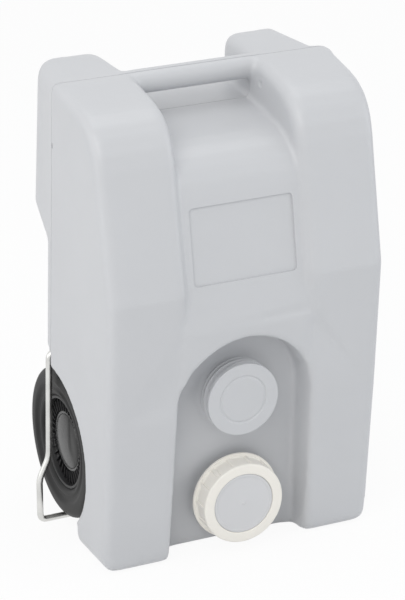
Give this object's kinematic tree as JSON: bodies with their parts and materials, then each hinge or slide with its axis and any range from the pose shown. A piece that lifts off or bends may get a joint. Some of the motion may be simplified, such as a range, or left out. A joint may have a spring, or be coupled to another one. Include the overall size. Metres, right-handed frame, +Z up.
{
  "type": "portable waste water tank",
  "caption": "Wheeled grey plastic waste water tank with a moulded grip bar, a screw-capped drain neck, a blind upper neck and a swinging wire bail that it stands on.",
  "frame": {"origin": "on the floor under the middle of the tank's overall length and width, as it stands on its two feet and its wire bail", "axes": "+X towards the right as seen from the front with the cap, -Y out of the front, +Z up"},
  "size_m": [0.3752, 0.2704, 0.5519],
  "materials": {
    "tank_plastic": "blow-moulded polyethylene, soft satin with a faint cool tone",
    "collar_plastic": "natural polypropylene, slightly translucent, cream",
    "insert_plastic": "pale grey moulded plastic, satin",
    "seal_rubber": "matte black rubber",
    "tyre_rubber": "satin black soft tyre plastic",
    "rim_plastic": "black moulded plastic",
    "hub_cap_plastic": "glossy dark plastic dome, plain",
    "bush_plastic": "natural nylon",
    "zinc_steel": "zinc-plated steel",
    "bail_steel": "bright zinc-plated round wire"
  },
  "bodies": {
    "tank": {"tank_body": "tank_plastic", "axle": "zinc_steel", "spacer_washer_left": "zinc_steel", "spacer_washer_right": "zinc_steel", "push_nut_left": "zinc_steel", "push_nut_right": "zinc_steel", "bail_bush_left": "bush_plastic", "bail_bush_right": "bush_plastic"},
    "wheel_left": {"tyre_left": "tyre_rubber", "rim_left": "rim_plastic", "hub_cap_left": "hub_cap_plastic", "wheel_bush_left": "bush_plastic"},
    "wheel_right": {"tyre_right": "tyre_rubber", "rim_right": "rim_plastic", "hub_cap_right": "hub_cap_plastic", "wheel_bush_right": "bush_plastic"},
    "cap_disc": {"cap_insert": "insert_plastic", "cap_seal": "seal_rubber"},
    "cap_ring": {"cap_collar": "collar_plastic"},
    "bail": {"bail_rod": "bail_steel"}
  },
  "joints": [
    {"name": "wheel_left_spin", "type": "hinge", "parent": "tank", "child": "wheel_left", "pos_m": [-0.1404, 0.04445, 0.1017], "axis": [1, 0, 0], "continuous": true},
    {"name": "wheel_right_spin", "type": "hinge", "parent": "tank", "child": "wheel_right", "pos_m": [0.1404, 0.04445, 0.1017], "axis": [1, 0, 0], "continuous": true},
    {"name": "cap_lift", "type": "slide", "parent": "tank", "child": "cap_disc", "axis": [0, -1, 0], "range_m": [0, 0.0121]},
    {"name": "cap_turn", "type": "hinge", "parent": "cap_disc", "child": "cap_ring", "pos_m": [0, -0.1, 0.0645], "axis": [0, -1, 0], "range_deg": [0, 720]},
    {"name": "bail_swing", "type": "hinge", "parent": "tank", "child": "bail", "pos_m": [0, 0.05145, 0.2145], "axis": [1, 0, 0], "range_deg": [0, 95]}
  ],
  "couplings": [
    {"joint": "cap_lift", "follows": "cap_turn", "m_per_rad": 0.00095493}
  ]
}
